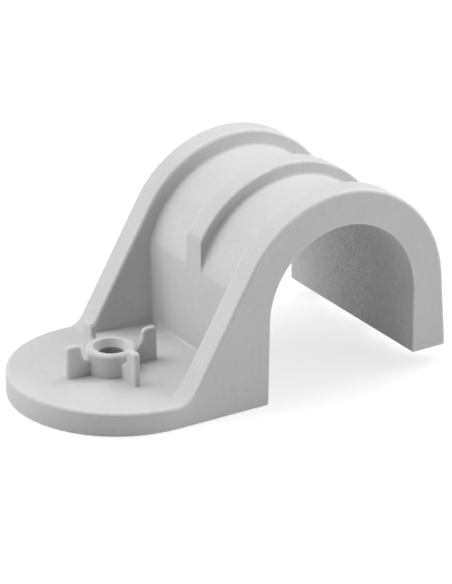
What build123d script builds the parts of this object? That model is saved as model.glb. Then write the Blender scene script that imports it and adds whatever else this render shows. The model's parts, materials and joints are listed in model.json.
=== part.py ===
from build123d import *
from math import asin, atan2, cos, degrees, hypot, radians, sin, tan
import os

os.makedirs("parts", exist_ok=True)

# A one-piece moulded pipe clip: a half-round saddle for a pipe, with a rib at each end and one
# in the middle, and a flat screw lug on one side only.
# Origin on the screw hole's axis, in the mounting face. +X runs from the lug to the pipe, +Y
# along the pipe, +Z away from the wall. All sizes are in millimetres.

# Saddle
pipe_diameter = 32.0
pipe_lift = 0.3          # the pipe's underside above the wall that the clip is screwed to
saddle_width = 42.4      # along the pipe, and the width of the lug
shell_wall = 3.95        # thickness of the half-round shell
lug_wall = 3.6           # thickness of its upright wall on the lug's side
near_splay = 0.9         # degrees that the inside of the lug's side opens towards the wall
far_splay = 0.4          # the same for the inside of the free leg
far_lean = 4.4           # degrees that the outside of the free leg leans outwards
far_leg_gap = 2.8        # the free leg stops this far above the mounting face

# End flanges, which run down to the lug as gussets, and the middle rib
flange_rise = 2.85       # above the shell
flange_width = 5.3       # at the flange's outer edge
flange_draft = 6.0       # degrees, so that a flange is thicker at its root
gusset_reach = 13.65     # from the upright wall to the foot of the gusset
gusset_foot_radius = 3.6
rib_rise = 2.3
rib_width = 5.0
rib_draft = 1.0

# Lug
screw_to_wall = 18.05    # from the screw's axis to the upright wall
lug_end_inset = 1.6      # the lug's round end is struck from a point this far inside the screw
base_root = 4.2          # the lug's thickness at the upright wall
base_slope = 1.0         # degrees that the lug's top rises towards its end

# Screw boss and the four fins round it
hole_radius = 2.5
countersink_radius = 3.5
countersink_angle = 70.0
boss_wall_radius = 4.85  # at the top, before its edge rolls over
boss_foot_radius = 4.9   # at the mounting face
boss_top = 9.1           # above the mounting face
boss_roll = 0.8          # radius of the boss's rolled-over edge
fin_count = 4
fin_reach = 9.8
fin_top = 11.05          # above the mounting face
fin_shoulder = 7.4       # above the mounting face, where the fin meets the boss
fin_crest = 6.55         # from the screw's axis to the inner end of the fin's top edge
fin_scoop_radius = 1.9
fin_crest_radius = 1.2
fin_tip_radius = 0.7
fin_foot_width = 1.4
fin_top_width = 1.3
fin_lean = 0.15          # how far each end of the fin leans in over its height

# Edge rounding
outer_round = 0.7
rib_round = 0.45
leg_end_round = 0.6
channel_round = 0.3
pocket_fillet = 0.5
fin_round = 0.55
rim_round = 0.2

# Worked out from the sizes above
pipe_radius = pipe_diameter / 2
shell_radius = pipe_radius + shell_wall
flange_radius = shell_radius + flange_rise
rib_radius = shell_radius + rib_rise
pipe_x = screw_to_wall + lug_wall + pipe_radius
pipe_z = pipe_radius + pipe_lift
half_width = saddle_width / 2
touching = 0.01          # distance at which edges count as being in a plane


def base_height(x):
    """Height of the lug's sloping top above the mounting face."""
    return base_root + (screw_to_wall - x) * tan(radians(base_slope))


def on_circle(radius, angle):
    """A point of the XZ plane on a circle about the pipe's axis."""
    return (pipe_x + radius * cos(radians(angle)), pipe_z + radius * sin(radians(angle)))


def down_tangent(radius, angle, height):
    """The point at a given height on the tangent that runs down from a circle's point."""
    x, z = on_circle(radius, angle)
    return (x + (z - height) * tan(radians(angle)), height)


def is_arc(edge, radius):
    """Whether an edge is an arc or circle of this radius."""
    return edge.geom_type == GeomType.CIRCLE and abs(edge.radius - radius) < touching


# The gusset's edge runs from its foot on the lug to where it touches the flange's circle.
foot_x = screw_to_wall - gusset_reach
foot_z = base_height(foot_x)
foot_distance = hypot(pipe_x - foot_x, pipe_z - foot_z)
gusset_slope = degrees(atan2(pipe_z - foot_z, pipe_x - foot_x) + asin(flange_radius / foot_distance))
foot_turn = gusset_slope + base_slope
foot_run = gusset_foot_radius * tan(radians(foot_turn / 2))
foot_start_x = foot_x - foot_run * cos(radians(base_slope))

# A flange's section is deep enough to reach the foot of the wall from the gusset's edge, and the
# rib's section reaches the pipe.
flange_depth = gusset_reach * sin(radians(gusset_slope)) + foot_z * cos(radians(gusset_slope))
rib_depth = rib_radius - pipe_radius


def rib_section(path, low_y, high_y, depth, low_draft, high_draft, rounding):
    """Drafted cross-section at a path's start, with its two outer edges rounded."""
    plane = Plane(origin=path @ 0, x_dir=(0, 1, 0), z_dir=path % 0)
    with BuildSketch(plane) as section:
        with BuildLine():
            Polyline(
                (low_y, 0),
                (high_y, 0),
                (high_y + depth * tan(radians(high_draft)), -depth),
                (low_y - depth * tan(radians(low_draft)), -depth),
                close=True,
            )
        make_face()
        fillet(section.vertices().group_by(Axis.Y)[-1], rounding)
    return section.sketch


# Lug: a flat bar with a gently sloping top, cut to a half-round end
lug_end = lug_end_inset - half_width
lug_root = pipe_x - pipe_radius
with BuildPart() as lug:
    with BuildSketch(Plane.XZ):
        with BuildLine():
            Polyline(
                (lug_end, 0),
                (lug_root, 0),
                (lug_root, base_height(lug_root)),
                (lug_end, base_height(lug_end)),
                close=True,
            )
        make_face()
    extrude(amount=half_width, both=True)
    with BuildSketch():
        with Locations((lug_end_inset, 0)):
            Circle(half_width)
            Rectangle(lug_root, saddle_width, align=(Align.MIN, Align.CENTER))
    extrude(amount=2 * base_root, mode=Mode.INTERSECT)
    top_rim = lug.faces().sort_by(Axis.Z)[-1].edges()
    fillet(top_rim.sort_by(Axis.X)[:-1], outer_round)

# Half-round shell with its upright wall and its free leg
with BuildPart() as shell:
    with BuildSketch(Plane.XZ):
        with BuildLine():
            start = 90 + degrees(asin((pipe_x - screw_to_wall) / shell_radius))
            band = CenterArc((pipe_x, pipe_z), shell_radius, start, far_lean - start)
            leg = Line(band @ 1, down_tangent(shell_radius, far_lean, 0))
            Polyline(leg @ 1, (screw_to_wall, 0), band @ 0)
        make_face()
    extrude(amount=half_width, both=True)

# Middle rib, which ends at the upright wall
with BuildPart() as rib:
    with BuildLine(Plane.XZ) as rib_path:
        crown = CenterArc((pipe_x, pipe_z), rib_radius, 180, far_lean - 180)
        Line(crown @ 1, down_tangent(rib_radius, far_lean, 0))
    add(rib_section(
        rib_path.line, -rib_width / 2, rib_width / 2, rib_depth, rib_draft, rib_draft, rib_round
    ))
    sweep(path=rib_path.line)
    split(bisect_by=Plane.YZ.offset(screw_to_wall), keep=Keep.TOP)

# End flange: one section carried up the gusset, over the pipe and down the free leg
with BuildPart() as flange:
    with BuildLine(Plane.XZ) as flange_path:
        foot = JernArc(
            start=(foot_start_x, base_height(foot_start_x)),
            tangent=(cos(radians(base_slope)), -sin(radians(base_slope))),
            radius=gusset_foot_radius,
            arc_size=foot_turn,
        )
        touch_angle = 90 + gusset_slope
        slope = Line(foot @ 1, on_circle(flange_radius, touch_angle))
        crown = CenterArc((pipe_x, pipe_z), flange_radius, touch_angle, far_lean - touch_angle)
        Line(crown @ 1, down_tangent(flange_radius, far_lean, 0))
    add(rib_section(
        flange_path.line, -half_width, flange_width - half_width, flange_depth, 0, flange_draft,
        outer_round
    ))
    sweep(path=flange_path.line)

# Screw boss: its wall leans in slightly and rolls over to a narrow flat rim
with BuildPart() as boss:
    with BuildSketch(Plane.XZ):
        with BuildLine():
            Polyline(
                (0, 0), (boss_foot_radius, 0), (boss_wall_radius, boss_top), (0, boss_top), close=True
            )
        make_face()
    revolve(axis=Axis.Z)
    fillet(boss.edges().group_by(Axis.Z)[-1], boss_roll)

# One fin: it starts inside the boss's wall, and its inner end is scooped down to a shoulder
# below the boss's rim
fin_root = (hole_radius + boss_wall_radius) / 2
with BuildPart() as fin:
    with BuildSketch(Plane.XZ) as fin_face:
        with BuildLine():
            Polyline(
                (fin_root, 0),
                (fin_reach, 0),
                (fin_reach - fin_lean, fin_top),
                (fin_crest, fin_top),
                (fin_crest - fin_lean, fin_shoulder),
                (fin_root, fin_shoulder),
                close=True,
            )
        make_face()
        fillet(fin_face.vertices().group_by(Axis.Y)[-1].sort_by(Axis.X)[-1], fin_tip_radius)
        fillet(fin_face.vertices().group_by(Axis.Y)[-1].sort_by(Axis.X)[0], fin_crest_radius)
        fillet(fin_face.vertices().group_by(Axis.Y)[1].sort_by(Axis.X)[-1], fin_scoop_radius)
    extrude(amount=fin_foot_width, both=True)
    with BuildSketch(Plane.YZ):
        with BuildLine():
            Polyline(
                (-fin_foot_width / 2, 0),
                (fin_foot_width / 2, 0),
                (fin_top_width / 2, fin_top),
                (-fin_top_width / 2, fin_top),
                close=True,
            )
        make_face()
    extrude(amount=fin_reach, mode=Mode.INTERSECT)
    side_edges = fin.edges().filter_by(Axis.Y, reverse=True).filter_by_position(
        Axis.Z, touching, fin_top + touching
    )
    fillet(side_edges.filter_by_position(Axis.X, fin_root + touching, fin_reach), fin_round)

with BuildPart() as clip:
    add(lug.part)
    add(shell.part)
    add(rib.part)
    add(flange.part)
    mirror(flange.part, about=Plane.XZ)

    # Mounting face, and the free leg that stops short of it
    split(bisect_by=Plane.XY, keep=Keep.TOP)
    with Locations((pipe_x, 0, 0)):
        Box(
            2 * flange_radius, saddle_width, far_leg_gap,
            align=(Align.MIN, Align.CENTER, Align.MIN), mode=Mode.SUBTRACT,
        )

    # Pipe channel: a half-round seat whose sides open towards the mounting face
    with BuildSketch(Plane.XZ):
        with BuildLine():
            seat = CenterArc(
                (pipe_x, pipe_z), pipe_radius, far_splay, 180 - near_splay - far_splay
            )
            Polyline(
                seat @ 1,
                down_tangent(pipe_radius, 180 - near_splay, 0),
                down_tangent(pipe_radius, far_splay, 0),
                seat @ 0,
            )
        make_face()
    extrude(amount=half_width, both=True, mode=Mode.SUBTRACT)

    # Fillets in the pockets between the ribs and where the wall stands on the lug
    shell_arcs = clip.edges().filter_by(lambda edge: is_arc(edge, shell_radius))
    wall_foot = clip.edges().filter_by_position(
        Axis.X, screw_to_wall - touching, screw_to_wall + touching
    )
    fillet(shell_arcs + wall_foot.filter_by_position(Axis.Z, 0, pipe_z), pocket_fillet)

    # Rounded ends of both legs and the rim of the channel
    leg_end = clip.edges().filter_by_position(
        Axis.Z, far_leg_gap - touching, far_leg_gap + touching
    )
    fillet(leg_end, leg_end_round)
    lug_leg_end = clip.edges().filter_by(Axis.Y).filter_by_position(Axis.X, screw_to_wall, pipe_x)
    fillet(lug_leg_end.group_by(Axis.Z)[0], leg_end_round)
    fillet(clip.edges().filter_by(lambda edge: is_arc(edge, pipe_radius)), channel_round)

    # Screw boss, its fins and the countersunk hole through it
    add(boss.part)
    with PolarLocations(0, fin_count):
        add(fin.part)
    with Locations((0, 0, boss_top)):
        CounterSinkHole(hole_radius, countersink_radius, counter_sink_angle=countersink_angle)

    fillet(clip.edges().filter_by(lambda edge: is_arc(edge, countersink_radius)), rim_round)

clip.part.label = "pipe_clip"
export_step(clip.part, "parts/pipe_clip.step")
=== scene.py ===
import json
import bmesh
import bpy
import numpy as np
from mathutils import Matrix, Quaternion, Vector


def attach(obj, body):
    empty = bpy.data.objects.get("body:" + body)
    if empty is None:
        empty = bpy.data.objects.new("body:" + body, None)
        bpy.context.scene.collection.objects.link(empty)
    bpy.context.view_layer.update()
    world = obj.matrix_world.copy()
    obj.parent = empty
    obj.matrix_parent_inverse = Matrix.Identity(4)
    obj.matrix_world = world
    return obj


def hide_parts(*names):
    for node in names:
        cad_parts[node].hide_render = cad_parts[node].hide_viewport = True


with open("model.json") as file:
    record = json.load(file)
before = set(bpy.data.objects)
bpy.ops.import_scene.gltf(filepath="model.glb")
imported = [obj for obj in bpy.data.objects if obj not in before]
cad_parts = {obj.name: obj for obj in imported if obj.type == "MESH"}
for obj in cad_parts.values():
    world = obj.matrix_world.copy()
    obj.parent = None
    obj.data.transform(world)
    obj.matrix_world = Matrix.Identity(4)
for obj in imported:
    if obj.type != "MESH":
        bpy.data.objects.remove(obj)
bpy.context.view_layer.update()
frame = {"nodes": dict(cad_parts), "record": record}

mmPerMetre = 1000.0
nearZero = 1e-20         # whatever is divided by is at least this
mounts = {mount["name"]: mount for mount in frame["record"]["mounts"]}
pipeX, pipeZ = mounts["pipe_saddle"]["pos_m"][::2]       # the pipe's axis runs along Y
pipeRadius = mounts["pipe_saddle"]["dims"]["r_mm"] / mmPerMetre
holeRadius = mounts["screw_hole"]["dims"]["r_mm"] / mmPerMetre
print("frame:", len(frame["nodes"]), "node and", len(mounts), "mounts")


# Moulded clip

clipShape = {
    "node": "pipe_clip",
    "mergeDistance": 1e-6,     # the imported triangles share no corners
    "smoothAngle": 32.0,       # degrees; anything sharper stays an edge
    "flatAngle": 0.15,         # degrees within which triangles count as one flat patch
    "flatRatio": 6.0,          # a patch this many times larger than its neighbours is really flat
}

clipMarks = {
    "seatReach": pipeRadius + 0.0015,     # the channel's sides are nearer than this to its middle plane
    "seatFacing": 0.8,         # the least cosine between their normals and the way to the pipe's axis
    "holeReach": holeRadius + 0.0001,
    "holeFacing": 0.95,
    "softBend": 400.0,         # one over a radius in metres: what is rounder than 2.5 mm isn't an edge
    "sharpBend": 2800.0,
}


def readTriangles(mesh):
    # the vertex numbers and the places of each triangle's three corners
    points = np.empty(len(mesh.vertices) * 3)
    mesh.vertices.foreach_get("co", points)
    corners = np.empty(len(mesh.loops), int)
    mesh.loops.foreach_get("vertex_index", corners)
    corners = corners.reshape(-1, 3)
    return corners, points.reshape(-1, 3)[corners]


def joinLabels(labels, first, second):
    # gives everything that is linked, directly or through others, the lowest label among it
    while True:
        lowest = np.minimum(labels[first], labels[second])
        joined = labels.copy()
        np.minimum.at(joined, first, lowest)
        np.minimum.at(joined, second, lowest)
        joined = joined[joined]
        if np.array_equal(joined, labels):
            return labels
        labels = joined


def pairTriangles(corners):
    # For every edge that two triangles share, the corner where each of the two starts along it.
    # Corners are counted through the whole mesh, three to a triangle.
    low = np.minimum(corners, np.roll(corners, -1, 1)).ravel()
    high = np.maximum(corners, np.roll(corners, -1, 1)).ravel()
    order = np.lexsort((high, low))
    same = (low[order][1:] == low[order][:-1]) & (high[order][1:] == high[order][:-1])
    return order[:-1][same], order[1:][same]


def nextCorner(corner):
    return corner // 3 * 3 + (corner + 1) % 3


def flatPatches(one, two, cosine, smooth, size, flatAngle, flatRatio):
    # A patch is all the triangles that lie in one plane and touch. Each triangle gets its patch's area if
    # that is over flatRatio times the area of every patch that it joins smoothly, and otherwise 0. The areas
    # are doubled, as size is: the length of the cross product of two sides.
    count = len(size)
    level = cosine > np.cos(np.radians(flatAngle))
    patch = joinLabels(np.arange(count), one[level] // 3, two[level] // 3)
    area = np.bincount(patch, weights=size, minlength=count)[patch]
    beside = smooth & (patch[one // 3] != patch[two // 3])
    largest = np.zeros(count)
    np.maximum.at(largest, patch[one[beside] // 3], area[two[beside] // 3])
    np.maximum.at(largest, patch[two[beside] // 3], area[one[beside] // 3])
    return np.where(area > flatRatio * largest[patch], area, 0)


def evenNormals(mesh, smoothAngle, flatAngle, flatRatio):
    # Shading normals for a tessellated solid. Each corner belongs to a fan of smooth triangles round its
    # vertex. If the fan holds a flat patch much larger than the patches beside it, the corner takes that
    # patch's normal; otherwise it takes the mean of the fan's normals, weighted by the corner's angle.
    corners, places = readTriangles(mesh)
    after = np.roll(places, -1, 1) - places
    before = np.roll(places, 1, 1) - places
    cross = np.cross(after[:, 0], before[:, 0])
    size = np.linalg.norm(cross, axis=1)
    normal = cross / np.maximum(size, nearZero)[:, None]
    lengths = np.linalg.norm(after, axis=2) * np.linalg.norm(before, axis=2)
    angle = np.arccos(np.clip((after * before).sum(2) / np.maximum(lengths, nearZero), -1, 1))
    one, two = pairTriangles(corners)
    cosine = (normal[one // 3] * normal[two // 3]).sum(1)
    smooth = cosine > np.cos(np.radians(smoothAngle))
    flat = flatPatches(one, two, cosine, smooth, size, flatAngle, flatRatio)
    # the second triangle runs the other way along an edge, so where it ends there, the first one starts
    one, two = one[smooth], two[smooth]
    starts, ends = np.append(one, nextCorner(one)), np.append(nextCorner(two), two)
    fan = joinLabels(np.arange(corners.size), starts, ends)
    rank = np.repeat(flat, 3)
    best = np.zeros(corners.size)
    np.maximum.at(best, fan, rank)
    weight = np.where(best[fan] > 0, (rank == best[fan]) * 1.0, angle.ravel())
    total = np.zeros((corners.size, 3))
    np.add.at(total, fan, np.repeat(normal, 3, 0) * weight[:, None])
    shading = total[fan]
    shading /= np.maximum(np.linalg.norm(shading, axis=1), nearZero)[:, None]
    mesh.normals_split_custom_set(shading.tolist())


def mergedCopy(node, name, mergeDistance, smoothAngle, flatAngle, flatRatio):
    # a copy of a CAD node whose triangles share corners, shaded smooth except at its real edges
    mesh = frame["nodes"][node].data.copy()
    mesh.name = name
    bm = bmesh.new()
    bm.from_mesh(mesh)
    bmesh.ops.remove_doubles(bm, verts=bm.verts, dist=mergeDistance)
    bmesh.ops.triangulate(bm, faces=bm.faces)
    bm.to_mesh(mesh)
    bm.free()
    mesh.materials.clear()
    mesh.shade_smooth()
    mesh.set_sharp_from_angle(angle=np.radians(smoothAngle))
    evenNormals(mesh, smoothAngle, flatAngle, flatRatio)
    piece = bpy.data.objects.new(name, mesh)
    bpy.context.scene.collection.objects.link(piece)
    return piece


def markSurface(mesh, seatReach, seatFacing, holeReach, holeFacing, softBend, sharpBend):
    # Corner attributes for the material. A triangle's bend is how fast its shading normal turns along a side:
    # the difference of the normals at the side's ends, measured along the side, over its length. It is above
    # zero on an outward rounding and below zero in a hollow one, and the strongest of the three sides counts.
    # "outwardRound" and "recess" are that bend between softBend and sharpBend, outwards and inwards. The
    # material paints a highlight on the first and light into the second.
    # "seat" is 1 on the triangles that face the pipe's axis or, below it, the channel's middle plane.
    # "hole" is 1 on the wall of the screw hole, which goes round the Z axis.
    places = readTriangles(mesh)[1]
    normals = np.empty(places.size)
    mesh.corner_normals.foreach_get("vector", normals)
    normals = normals.reshape(places.shape)
    side = np.roll(places, -1, 1) - places
    turn = np.roll(normals, -1, 1) - normals
    bend = (turn * side).sum(2) / np.maximum((side * side).sum(2), nearZero)
    strongest = np.take_along_axis(bend, np.abs(bend).argmax(1)[:, None], 1)[:, 0]
    span = sharpBend - softBend
    centre = places.mean(1)
    facing = normals.mean(1)
    across, above = centre[:, 0] - pipeX, centre[:, 2] - pipeZ
    away = np.maximum(np.hypot(across, above), nearZero)
    inwards = -(facing[:, 0] * across + facing[:, 2] * above) / away
    sideways = -facing[:, 0] * np.sign(across)
    below = (sideways > seatFacing) & (np.abs(across) < seatReach)
    seat = np.where(above > 0, inwards > seatFacing, below)
    out = np.hypot(centre[:, 0], centre[:, 1])
    hole = (out < holeReach) & ((facing[:, :2] * centre[:, :2]).sum(1) < -holeFacing * out)
    marks = {
        "outwardRound": np.clip((strongest - softBend) / span, 0, 1),
        "recess": np.clip((-strongest - softBend) / span, 0, 1),
        "seat": seat * 1.0,
        "hole": hole * 1.0,
    }
    for name, values in marks.items():
        mesh.attributes.new(name, "FLOAT", "CORNER").data.foreach_set("value", np.repeat(values, 3))


# Node helpers, where a value is a number or another node's output

def feed(tree, socket, value):
    if isinstance(value, bpy.types.NodeSocket):
        tree.links.new(value, socket)
    else:
        socket.default_value = value


def calc(tree, operation, *values, clamp=False):
    node = tree.nodes.new("ShaderNodeMath")
    node.operation = operation
    node.use_clamp = clamp
    for socket, value in zip(node.inputs, values):
        feed(tree, socket, value)
    return node.outputs[0]


def addUp(tree, start, *terms):
    # start, plus the product of each pair
    for first, second in terms:
        start = calc(tree, "MULTIPLY_ADD", first, second, start)
    return start


def scaled(tree, vector, factor):
    node = tree.nodes.new("ShaderNodeVectorMath")
    node.operation = "SCALE"
    feed(tree, node.inputs[0], vector)
    feed(tree, node.inputs["Scale"], factor)
    return node.outputs[0]


def readPlace(tree, size):
    # object coordinates counted in a pattern's own size, which is in millimetres
    place = tree.nodes.new("ShaderNodeTexCoord").outputs["Object"]
    return scaled(tree, place, calc(tree, "DIVIDE", mmPerMetre, size))


def splitPlace(tree):
    # object coordinates in millimetres, by the axis's name
    split = tree.nodes.new("ShaderNodeSeparateXYZ")
    feed(tree, split.inputs[0], readPlace(tree, 1.0))
    return split.outputs


def readMark(tree, name):
    mark = tree.nodes.new("ShaderNodeAttribute")
    mark.attribute_name = name
    return mark.outputs["Fac"]


def newGroup(name, inputs, output):
    # an empty node group with one output; inputs gives every input socket's name and value
    group = bpy.data.node_groups.new(name, "ShaderNodeTree")
    for label, value in inputs.items():
        socket = group.interface.new_socket(label, in_out="INPUT", socket_type="NodeSocketFloat")
        socket.default_value = value
    group.interface.new_socket(output, in_out="OUTPUT", socket_type="NodeSocketFloat")
    given = group.nodes.new("NodeGroupInput").outputs
    return group, given, group.nodes.new("NodeGroupOutput").inputs[output]


def placeGroup(tree, group, **values):
    # a group's node with these inputs set; it gives the group's one output
    node = tree.nodes.new("ShaderNodeGroup")
    node.node_tree = group
    for label, value in values.items():
        feed(tree, node.inputs[label], value)
    return node.outputs[0]


mottleNoise = {
    "roughness": 0.55,
    "middle": 0.5,            # the noise's own middle, and about how far it strays from it
    "spread": 0.25,
}


def mottleGroup(roughness, middle, spread):
    # soft blotches of a given size, from about -1 to 1
    group, given, value = newGroup("mottle", {"Size": 1.0, "Detail": 2.0}, "Value")
    texture = group.nodes.new("ShaderNodeTexNoise")
    feed(group, texture.inputs["Vector"], readPlace(group, given["Size"]))
    feed(group, texture.inputs["Scale"], 1.0)
    feed(group, texture.inputs["Detail"], given["Detail"])
    feed(group, texture.inputs["Roughness"], roughness)
    centred = calc(group, "SUBTRACT", texture.outputs["Fac"], middle)
    feed(group, value, calc(group, "DIVIDE", centred, spread))
    return group


def speckGroup():
    # Small round specks. Space is split into cells, and a cell has a speck round its middle where its random
    # number is below Share. Spacing and Radius are in millimetres. A speck's strength is what is left of the
    # radius, as a share of it, over Fade, and no more than 1.
    inputs = {"Spacing": 4.0, "Radius": 0.15, "Fade": 0.5, "Share": 0.2}
    group, given, mask = newGroup("specks", inputs, "Mask")
    cells = group.nodes.new("ShaderNodeTexVoronoi")
    feed(group, cells.inputs["Vector"], readPlace(group, given["Spacing"]))
    feed(group, cells.inputs["Scale"], 1.0)
    away = calc(group, "MULTIPLY", cells.outputs["Distance"], given["Spacing"])
    left = calc(group, "SUBTRACT", 1.0, calc(group, "DIVIDE", away, given["Radius"]), clamp=True)
    strength = calc(group, "DIVIDE", left, given["Fade"], clamp=True)
    split = group.nodes.new("ShaderNodeSeparateColor")
    feed(group, split.inputs[0], cells.outputs["Color"])
    chosen = calc(group, "LESS_THAN", split.outputs[0], given["Share"])
    feed(group, mask, calc(group, "MULTIPLY", strength, chosen))
    return group


def edgeHighlightAndRubGroup(mottle):
    # outward rounded edges: the "outwardRound" mark, times Level plus Patchiness times a blotch. The material
    # paints a highlight with it and makes the edges smoother, as if rubbed
    inputs = {"Size": 2.0, "Detail": 3.0, "Patchiness": 0.3, "Level": 0.7}
    group, given, mask = newGroup("edgeHighlightAndRub", inputs, "Mask")
    blotch = placeGroup(group, mottle, Size=given["Size"], Detail=given["Detail"])
    uneven = calc(group, "MULTIPLY_ADD", blotch, given["Patchiness"], given["Level"], clamp=True)
    feed(group, mask, calc(group, "MULTIPLY", readMark(group, "outwardRound"), uneven))
    return group


def sinkGroup():
    # A shallow sink line along the saddle. Going down from the line, the height is -s exp(1 - s), where s is
    # the distance in widths, so the surface dips at once and comes back slowly. It is kept to the shell's
    # outside, within Band of Radius from the axis. Lengths are in millimetres and the angle in radians.
    inputs = {"AxisX": 0.0, "AxisZ": 0.0, "Radius": 20.0, "Band": 0.4, "Angle": 0.8, "Width": 2.0}
    group, given, height = newGroup("sinkLine", inputs, "Height")
    place = splitPlace(group)
    across = calc(group, "SUBTRACT", given["AxisX"], place["X"])
    above = calc(group, "SUBTRACT", place["Z"], given["AxisZ"])
    turned = calc(group, "SUBTRACT", given["Angle"], calc(group, "ARCTAN2", above, across))
    steps = calc(group, "DIVIDE", calc(group, "MULTIPLY", turned, given["Radius"]), given["Width"])
    steps = calc(group, "MAXIMUM", steps, 0.0)
    fading = calc(group, "EXPONENT", calc(group, "SUBTRACT", 1.0, steps))
    away = calc(group, "SQRT", addUp(group, 0.0, (above, above), (across, across)))
    offShell = calc(group, "ABSOLUTE", calc(group, "SUBTRACT", away, given["Radius"]))
    onShell = calc(group, "LESS_THAN", offShell, given["Band"])
    dip = calc(group, "MULTIPLY", calc(group, "MULTIPLY", steps, fading), onShell)
    feed(group, height, calc(group, "MULTIPLY", dip, -1.0))
    return group


# Sizes, depths and lengths are in millimetres. A tone is the share by which the plastic gets paler or,
# below zero, darker, and a roughness inside a mark is what it adds.
plasticLook = {
    "colour": (0.58, 0.58, 0.58),
    "roughness": 0.60,
    "cloud": {"size": 7.0, "detail": 3.0, "tone": 0.022},      # broad unevenness of the colour
    "fleck": {"size": 1.0, "tone": 0.030},
    "grain": {"size": 0.16, "detail": 1.0, "depth": 0.0016},
    "wave": {"size": 3.5, "depth": 0.006, "roughness": 0.06},
    # the channel's mottle has its full strength up to middle from halfway along it, and its least past ends
    "seat": {"size": 0.9, "tone": 0.065, "fineSize": 0.28, "fineTone": 0.14, "depth": 0.012,
             "roughness": 0.12, "middle": 3.0, "ends": 14.0, "least": 0.7, "more": 1.3},
    # on the outward roundings the tone is a painted highlight and the roughness a real rub
    "highlightAndRub": {"size": 2.2, "patchiness": 0.3, "level": 0.7, "tone": 0.24, "roughness": -0.10},
    # painted light: hollow roundings are made paler, against the shade that falls in them
    "hollowLightTone": 0.05,         # in hollow corners
    # painted shade: the screw hole's wall is made darker, as shade falls deep in the hole
    "holeShadeTone": -0.30,        # on the screw hole's wall
    "speck": {"spacing": 5.0, "radius": 0.14, "fade": 0.5, "share": 0.25, "tone": -0.30},
    # The sink line is on the outside of the shell, and wall is the shell's thickness. The line's height is
    # below zero, so its tone makes it darker.
    "sink": {"wall": 3.95, "band": 0.4, "angle": 0.78, "width": 1.1, "tone": 0.035, "depth": 0.015},
}


def plasticMaterial(colour, roughness, cloud, fleck, grain, wave, seat, highlightAndRub, hollowLightTone, holeShadeTone, speck, sink):
    material = bpy.data.materials.new("mouldedPlastic")
    material.use_nodes = True
    tree = material.node_tree
    shader = tree.nodes["Principled BSDF"]
    mottle = mottleGroup(**mottleNoise)
    broad = placeGroup(tree, mottle, Size=cloud["size"], Detail=cloud["detail"])
    small = placeGroup(tree, mottle, Size=fleck["size"])
    blotch = placeGroup(tree, mottle, Size=seat["size"])
    pore = placeGroup(tree, mottle, Size=seat["fineSize"])
    tiny = placeGroup(tree, mottle, Size=grain["size"], Detail=grain["detail"])
    slow = placeGroup(tree, mottle, Size=wave["size"])
    highlightAndRubMask = placeGroup(tree, edgeHighlightAndRubGroup(mottle), Size=highlightAndRub["size"], Patchiness=highlightAndRub["patchiness"],
                         Level=highlightAndRub["level"])
    dark = placeGroup(tree, speckGroup(), Spacing=speck["spacing"], Radius=speck["radius"],
                      Fade=speck["fade"], Share=speck["share"])
    dip = placeGroup(tree, sinkGroup(), AxisX=pipeX * mmPerMetre, AxisZ=pipeZ * mmPerMetre,
                     Radius=pipeRadius * mmPerMetre + sink["wall"], Band=sink["band"],
                     Angle=sink["angle"], Width=sink["width"])
    inSeat = readMark(tree, "seat")
    nearMiddle = calc(tree, "SUBTRACT", seat["ends"], calc(tree, "ABSOLUTE", splitPlace(tree)["Y"]))
    nearMiddle = calc(tree, "DIVIDE", nearMiddle, seat["ends"] - seat["middle"], clamp=True)
    mottled = calc(tree, "MULTIPLY", inSeat, addUp(tree, seat["least"], (nearMiddle, seat["more"])))
    worn = addUp(tree, 0.0, (blotch, seat["tone"]), (pore, seat["fineTone"]))
    # colour: the plastic's grey times 1 plus every mark's own share; the screw hole's share is painted shade,
    # the hollow roundings' painted light and the outward roundings' painted highlight
    tone = addUp(tree, 1.0, (broad, cloud["tone"]), (small, fleck["tone"]), (mottled, worn),
                 (readMark(tree, "hole"), holeShadeTone), (highlightAndRubMask, highlightAndRub["tone"]),
                 (readMark(tree, "recess"), hollowLightTone), (dip, sink["tone"]), (dark, speck["tone"]))
    feed(tree, shader.inputs["Base Color"], scaled(tree, colour, tone))
    # roughness: uneven all over, smoother on handled edges, rougher in the channel
    rough = addUp(tree, roughness, (slow, wave["roughness"]), (highlightAndRubMask, highlightAndRub["roughness"]),
                  (inSeat, seat["roughness"]))
    feed(tree, shader.inputs["Roughness"], rough)
    # height in millimetres: fine grain, slow waves, the channel's coarser grain and the sink line
    coarse = calc(tree, "MULTIPLY", mottled, pore)
    height = addUp(tree, 0.0, (tiny, grain["depth"]), (slow, wave["depth"]), (coarse, seat["depth"]),
                   (dip, sink["depth"]))
    bump = tree.nodes.new("ShaderNodeBump")
    feed(tree, bump.inputs["Distance"], 1 / mmPerMetre)
    feed(tree, bump.inputs["Height"], height)
    feed(tree, shader.inputs["Normal"], bump.outputs[0])
    return material


clip = mergedCopy(name="clip_body", **clipShape)
markSurface(clip.data, **clipMarks)
clip.data.materials.append(plasticMaterial(**plasticLook))
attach(clip, "root")
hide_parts(clipShape["node"])
print("clip:", len(clip.data.polygons), "triangles")


# Studio

floorLook = {
    "half": 3.0,              # metres from the middle to the edge
    "gap": 0.00002,           # just under the clip, so that its underside and the paper aren't in one plane
    "bounce": 0.5,            # how much light the paper sends back at the clip
    "glow": 0.72,             # the camera sees the paper this bright, even in shadow
    "shade": 0.36,            # and this much of the light that falls on it
}


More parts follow.
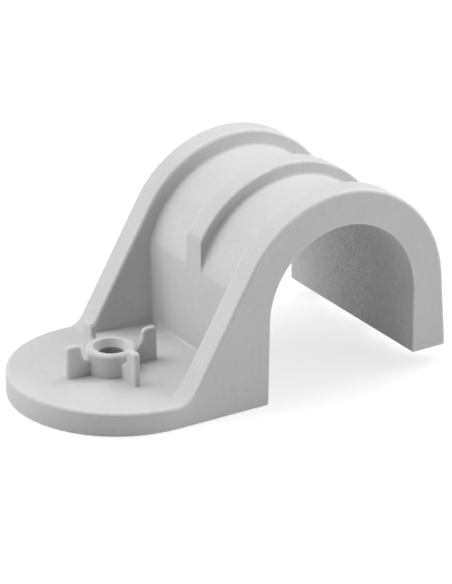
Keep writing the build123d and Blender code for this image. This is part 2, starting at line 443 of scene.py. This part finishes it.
def paperMaterial(bounce, glow, shade):
    # white paper: the camera and reflections see it pale with a faint shadow, the clip gets a grey bounce
    material = bpy.data.materials.new("studioPaper")
    material.use_nodes = True
    tree = material.node_tree
    tree.nodes.clear()
    grey = tree.nodes.new("ShaderNodeBsdfDiffuse")
    grey.inputs["Color"].default_value = (bounce, bounce, bounce, 1)
    shadow = tree.nodes.new("ShaderNodeBsdfDiffuse")
    shadow.inputs["Color"].default_value = (shade, shade, shade, 1)
    light = tree.nodes.new("ShaderNodeEmission")
    light.inputs["Strength"].default_value = glow
    seen = tree.nodes.new("ShaderNodeAddShader")
    feed(tree, seen.inputs[0], shadow.outputs[0])
    feed(tree, seen.inputs[1], light.outputs[0])
    ray = tree.nodes.new("ShaderNodeLightPath").outputs
    direct = calc(tree, "MAXIMUM", ray["Is Camera Ray"], ray["Is Transmission Ray"])
    choose = tree.nodes.new("ShaderNodeMixShader")
    feed(tree, choose.inputs["Fac"], calc(tree, "MAXIMUM", direct, ray["Is Glossy Ray"]))
    feed(tree, choose.inputs[1], grey.outputs[0])
    feed(tree, choose.inputs[2], seen.outputs[0])
    output = tree.nodes.new("ShaderNodeOutputMaterial")
    feed(tree, output.inputs["Surface"], choose.outputs[0])
    return material


def buildFloor(half, gap, **paper):
    mesh = bpy.data.meshes.new("studio_floor")
    square = [(-half, -half, 0), (half, -half, 0), (half, half, 0), (-half, half, 0)]
    mesh.from_pydata(square, [], [(0, 1, 2, 3)])
    mesh.materials.append(paperMaterial(**paper))
    floor = bpy.data.objects.new("studio_floor", mesh)
    floor.location.z = -gap
    bpy.context.scene.collection.objects.link(floor)


lampSet = {
    "distance": 1.0,          # metres from the clip
    "size": 0.8,              # wide, soft discs
    "target": (0.021, 0, 0.015),
    # azimuth counts from +X towards +Y, in degrees; power is in watts
    "lamps": {
        "overBack": {"azimuth": 135, "elevation": 65, "power": 5.90},
        "overRight": {"azimuth": 45, "elevation": 65, "power": 2.90},
        "right": {"azimuth": 0, "elevation": 40, "power": 6.05},
        "frontRight": {"azimuth": 315, "elevation": 14, "power": 5.80},
        "frontLeft": {"azimuth": 225, "elevation": 14, "power": 0.36},
        "left": {"azimuth": 180, "elevation": 14, "power": 3.20},
        "backLeft": {"azimuth": 135, "elevation": 14, "power": 3.55},
    },
}


def addLamp(name, azimuth, elevation, power, distance, size, target):
    turn, rise = np.radians((azimuth, elevation))
    towards = Vector((np.cos(turn) * np.cos(rise), np.sin(turn) * np.cos(rise), np.sin(rise)))
    light = bpy.data.lights.new(name, "AREA")
    light.shape = "DISK"
    light.size = size
    light.energy = power
    lamp = bpy.data.objects.new(name, light)
    lamp.location = Vector(target) + distance * towards
    lamp.rotation_euler = towards.to_track_quat("Z", "Y").to_euler()
    bpy.context.scene.collection.objects.link(lamp)


def addLamps(lamps, **shared):
    for name, lamp in lamps.items():
        addLamp(name, **lamp, **shared)


def darkWorld():
    # the lamps give all the light
    world = bpy.data.worlds.new("studioWorld")
    world.use_nodes = True
    world.node_tree.nodes["Background"].inputs["Strength"].default_value = 0.0
    bpy.context.scene.world = world


buildFloor(**floorLook)
addLamps(**lampSet)
darkWorld()
print("studio: a floor and", len(lampSet["lamps"]), "lamps")

cameraView = {
    "place": (-0.27909, -0.48580, 0.26196),
    "target": (0.02588, 0.00107, 0.01366),
    "lens": 203.26,
    "sensor": 36,
    "nearest": 0.01,          # metres from the camera at which things start to show
    "roll": 0.09,             # degrees
}


def placeCamera(place, target, lens, sensor, nearest, roll):
    data = bpy.data.cameras.new("photoCamera")
    data.lens = lens
    data.sensor_width = sensor
    data.clip_start = nearest
    camera = bpy.data.objects.new("photoCamera", data)
    camera.location = place
    facing = (Vector(target) - Vector(place)).to_track_quat("-Z", "Y")
    camera.rotation_euler = (facing @ Quaternion((0, 0, 1), np.radians(roll))).to_euler()
    bpy.context.scene.collection.objects.link(camera)
    bpy.context.scene.camera = camera


placeCamera(**cameraView)
bpy.context.scene.view_settings.view_transform = "Standard"
print("camera: placed with a", cameraView["lens"], "mm lens")


def corners(bounds):
    return [[float(value) for value in corner] for corner in bounds]
